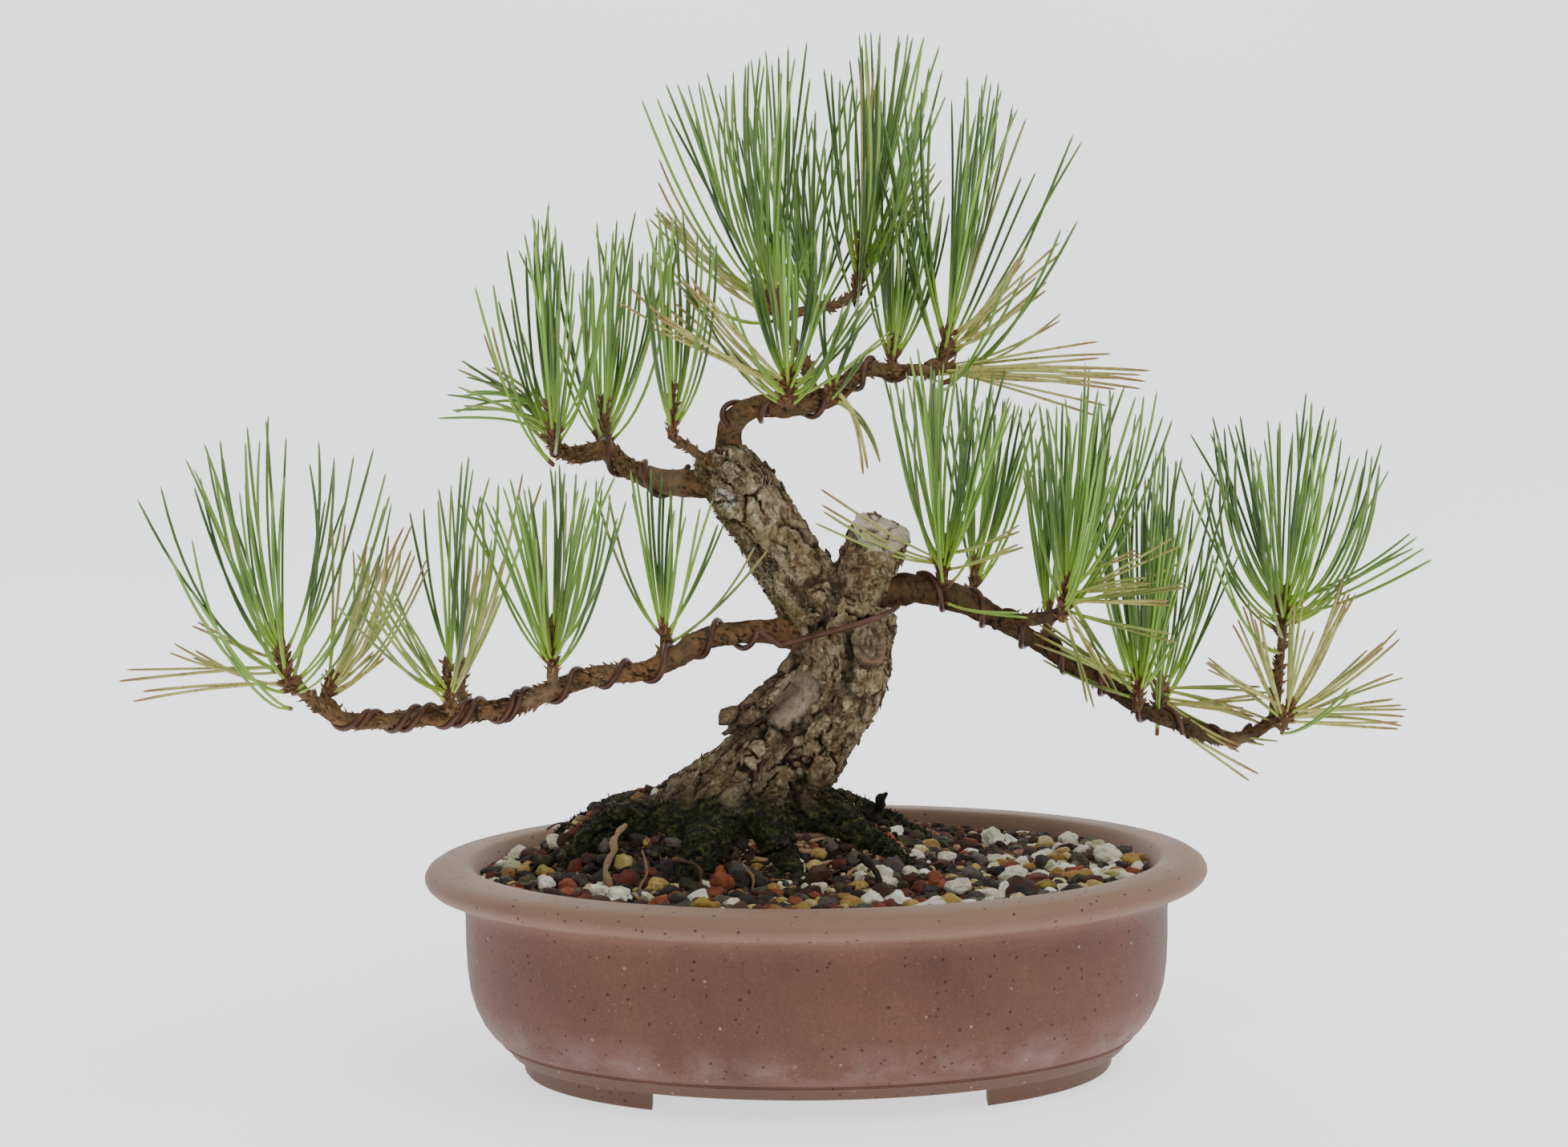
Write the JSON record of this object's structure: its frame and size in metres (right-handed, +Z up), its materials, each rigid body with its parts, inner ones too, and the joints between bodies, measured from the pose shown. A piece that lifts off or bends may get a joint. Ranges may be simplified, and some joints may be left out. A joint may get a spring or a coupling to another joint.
{
  "type": "potted bonsai pine",
  "caption": "Small trained pine with a bent plated trunk, wired side branches and long upright needle tufts, planted in gritty soil in an oval unglazed clay pot on low feet.",
  "frame": {"origin": "on the ground under the middle of the pot, which is the bottom centre of the whole object's box", "axes": "+Z up, +X along the pot's long axis towards the right-hand branch, -Y towards the front from which the tree is viewed"},
  "size_m": [0.52, 0.258, 0.426],
  "materials": {
    "unglazed_clay": "unglazed fired clay, semi-matte, brown with dark dots and pale specks",
    "black_net": "moulded drainage net, matte",
    "brown_wire": "brown anodised, satin",
    "soil_mix": "gritty mix of lava, pumice, pebbles and bark bits",
    "trunk_bark": "plated flaky pine bark, grey-tan with dark fissures",
    "branch_bark": "scaly young bark, orange-brown",
    "pine_needle": "living needles, satin green, older ones yellow-green",
    "moss": "dark green moss",
    "pumice": "off-white pumice with a green tint"
  },
  "bodies": {
    "root": {"anchor_wire": "brown_wire", "branch_apex": "branch_bark", "branch_apex_back": "branch_bark", "branch_left_low": "branch_bark", "branch_left_middle": "branch_bark", "branch_right_low": "branch_bark", "drain_net_left": "black_net", "drain_net_right": "black_net", "moss_back": "moss", "moss_front": "moss", "moss_left": "moss", "moss_right": "moss", "net_clip_left": "brown_wire", "net_clip_right": "brown_wire", "pot": "unglazed_clay", "pumice_front": "pumice", "pumice_front_left": "pumice", "pumice_left_front": "pumice", "pumice_left_rim": "pumice", "pumice_right": "pumice", "pumice_right_back": "pumice", "pumice_right_front": "pumice", "pumice_right_rim": "pumice", "shoot_apex_back": "pine_needle", "shoot_apex_crown": "pine_needle", "shoot_apex_front": "pine_needle", "shoot_apex_left_back": "pine_needle", "shoot_apex_low": "pine_needle", "shoot_apex_middle": "pine_needle", "shoot_apex_right": "pine_needle", "shoot_apex_right_low": "pine_needle", "shoot_left_back": "pine_needle", "shoot_left_centre": "pine_needle", "shoot_left_end": "pine_needle", "shoot_left_end_back": "pine_needle", "shoot_left_front": "pine_needle", "shoot_left_inner": "pine_needle", "shoot_middle_end": "pine_needle", "shoot_middle_inner": "pine_needle", "shoot_middle_low": "pine_needle", "shoot_middle_top": "pine_needle", "shoot_right_back": "pine_needle", "shoot_right_dense": "pine_needle", "shoot_right_dense_back": "pine_needle", "shoot_right_end": "pine_needle", "shoot_right_front": "pine_needle", "shoot_right_middle": "pine_needle", "shoot_right_under": "pine_needle", "shoot_right_upright": "pine_needle", "soil_mix": "soil_mix", "training_wire_apex": "brown_wire", "training_wire_left_low": "brown_wire", "training_wire_left_middle": "brown_wire", "training_wire_left_tip": "brown_wire", "training_wire_right_low": "brown_wire", "training_wire_right_tip": "brown_wire", "trunk": "trunk_bark", "twig_left_upper": "branch_bark", "twig_right_inner": "branch_bark"}
  },
  "joints": []
}
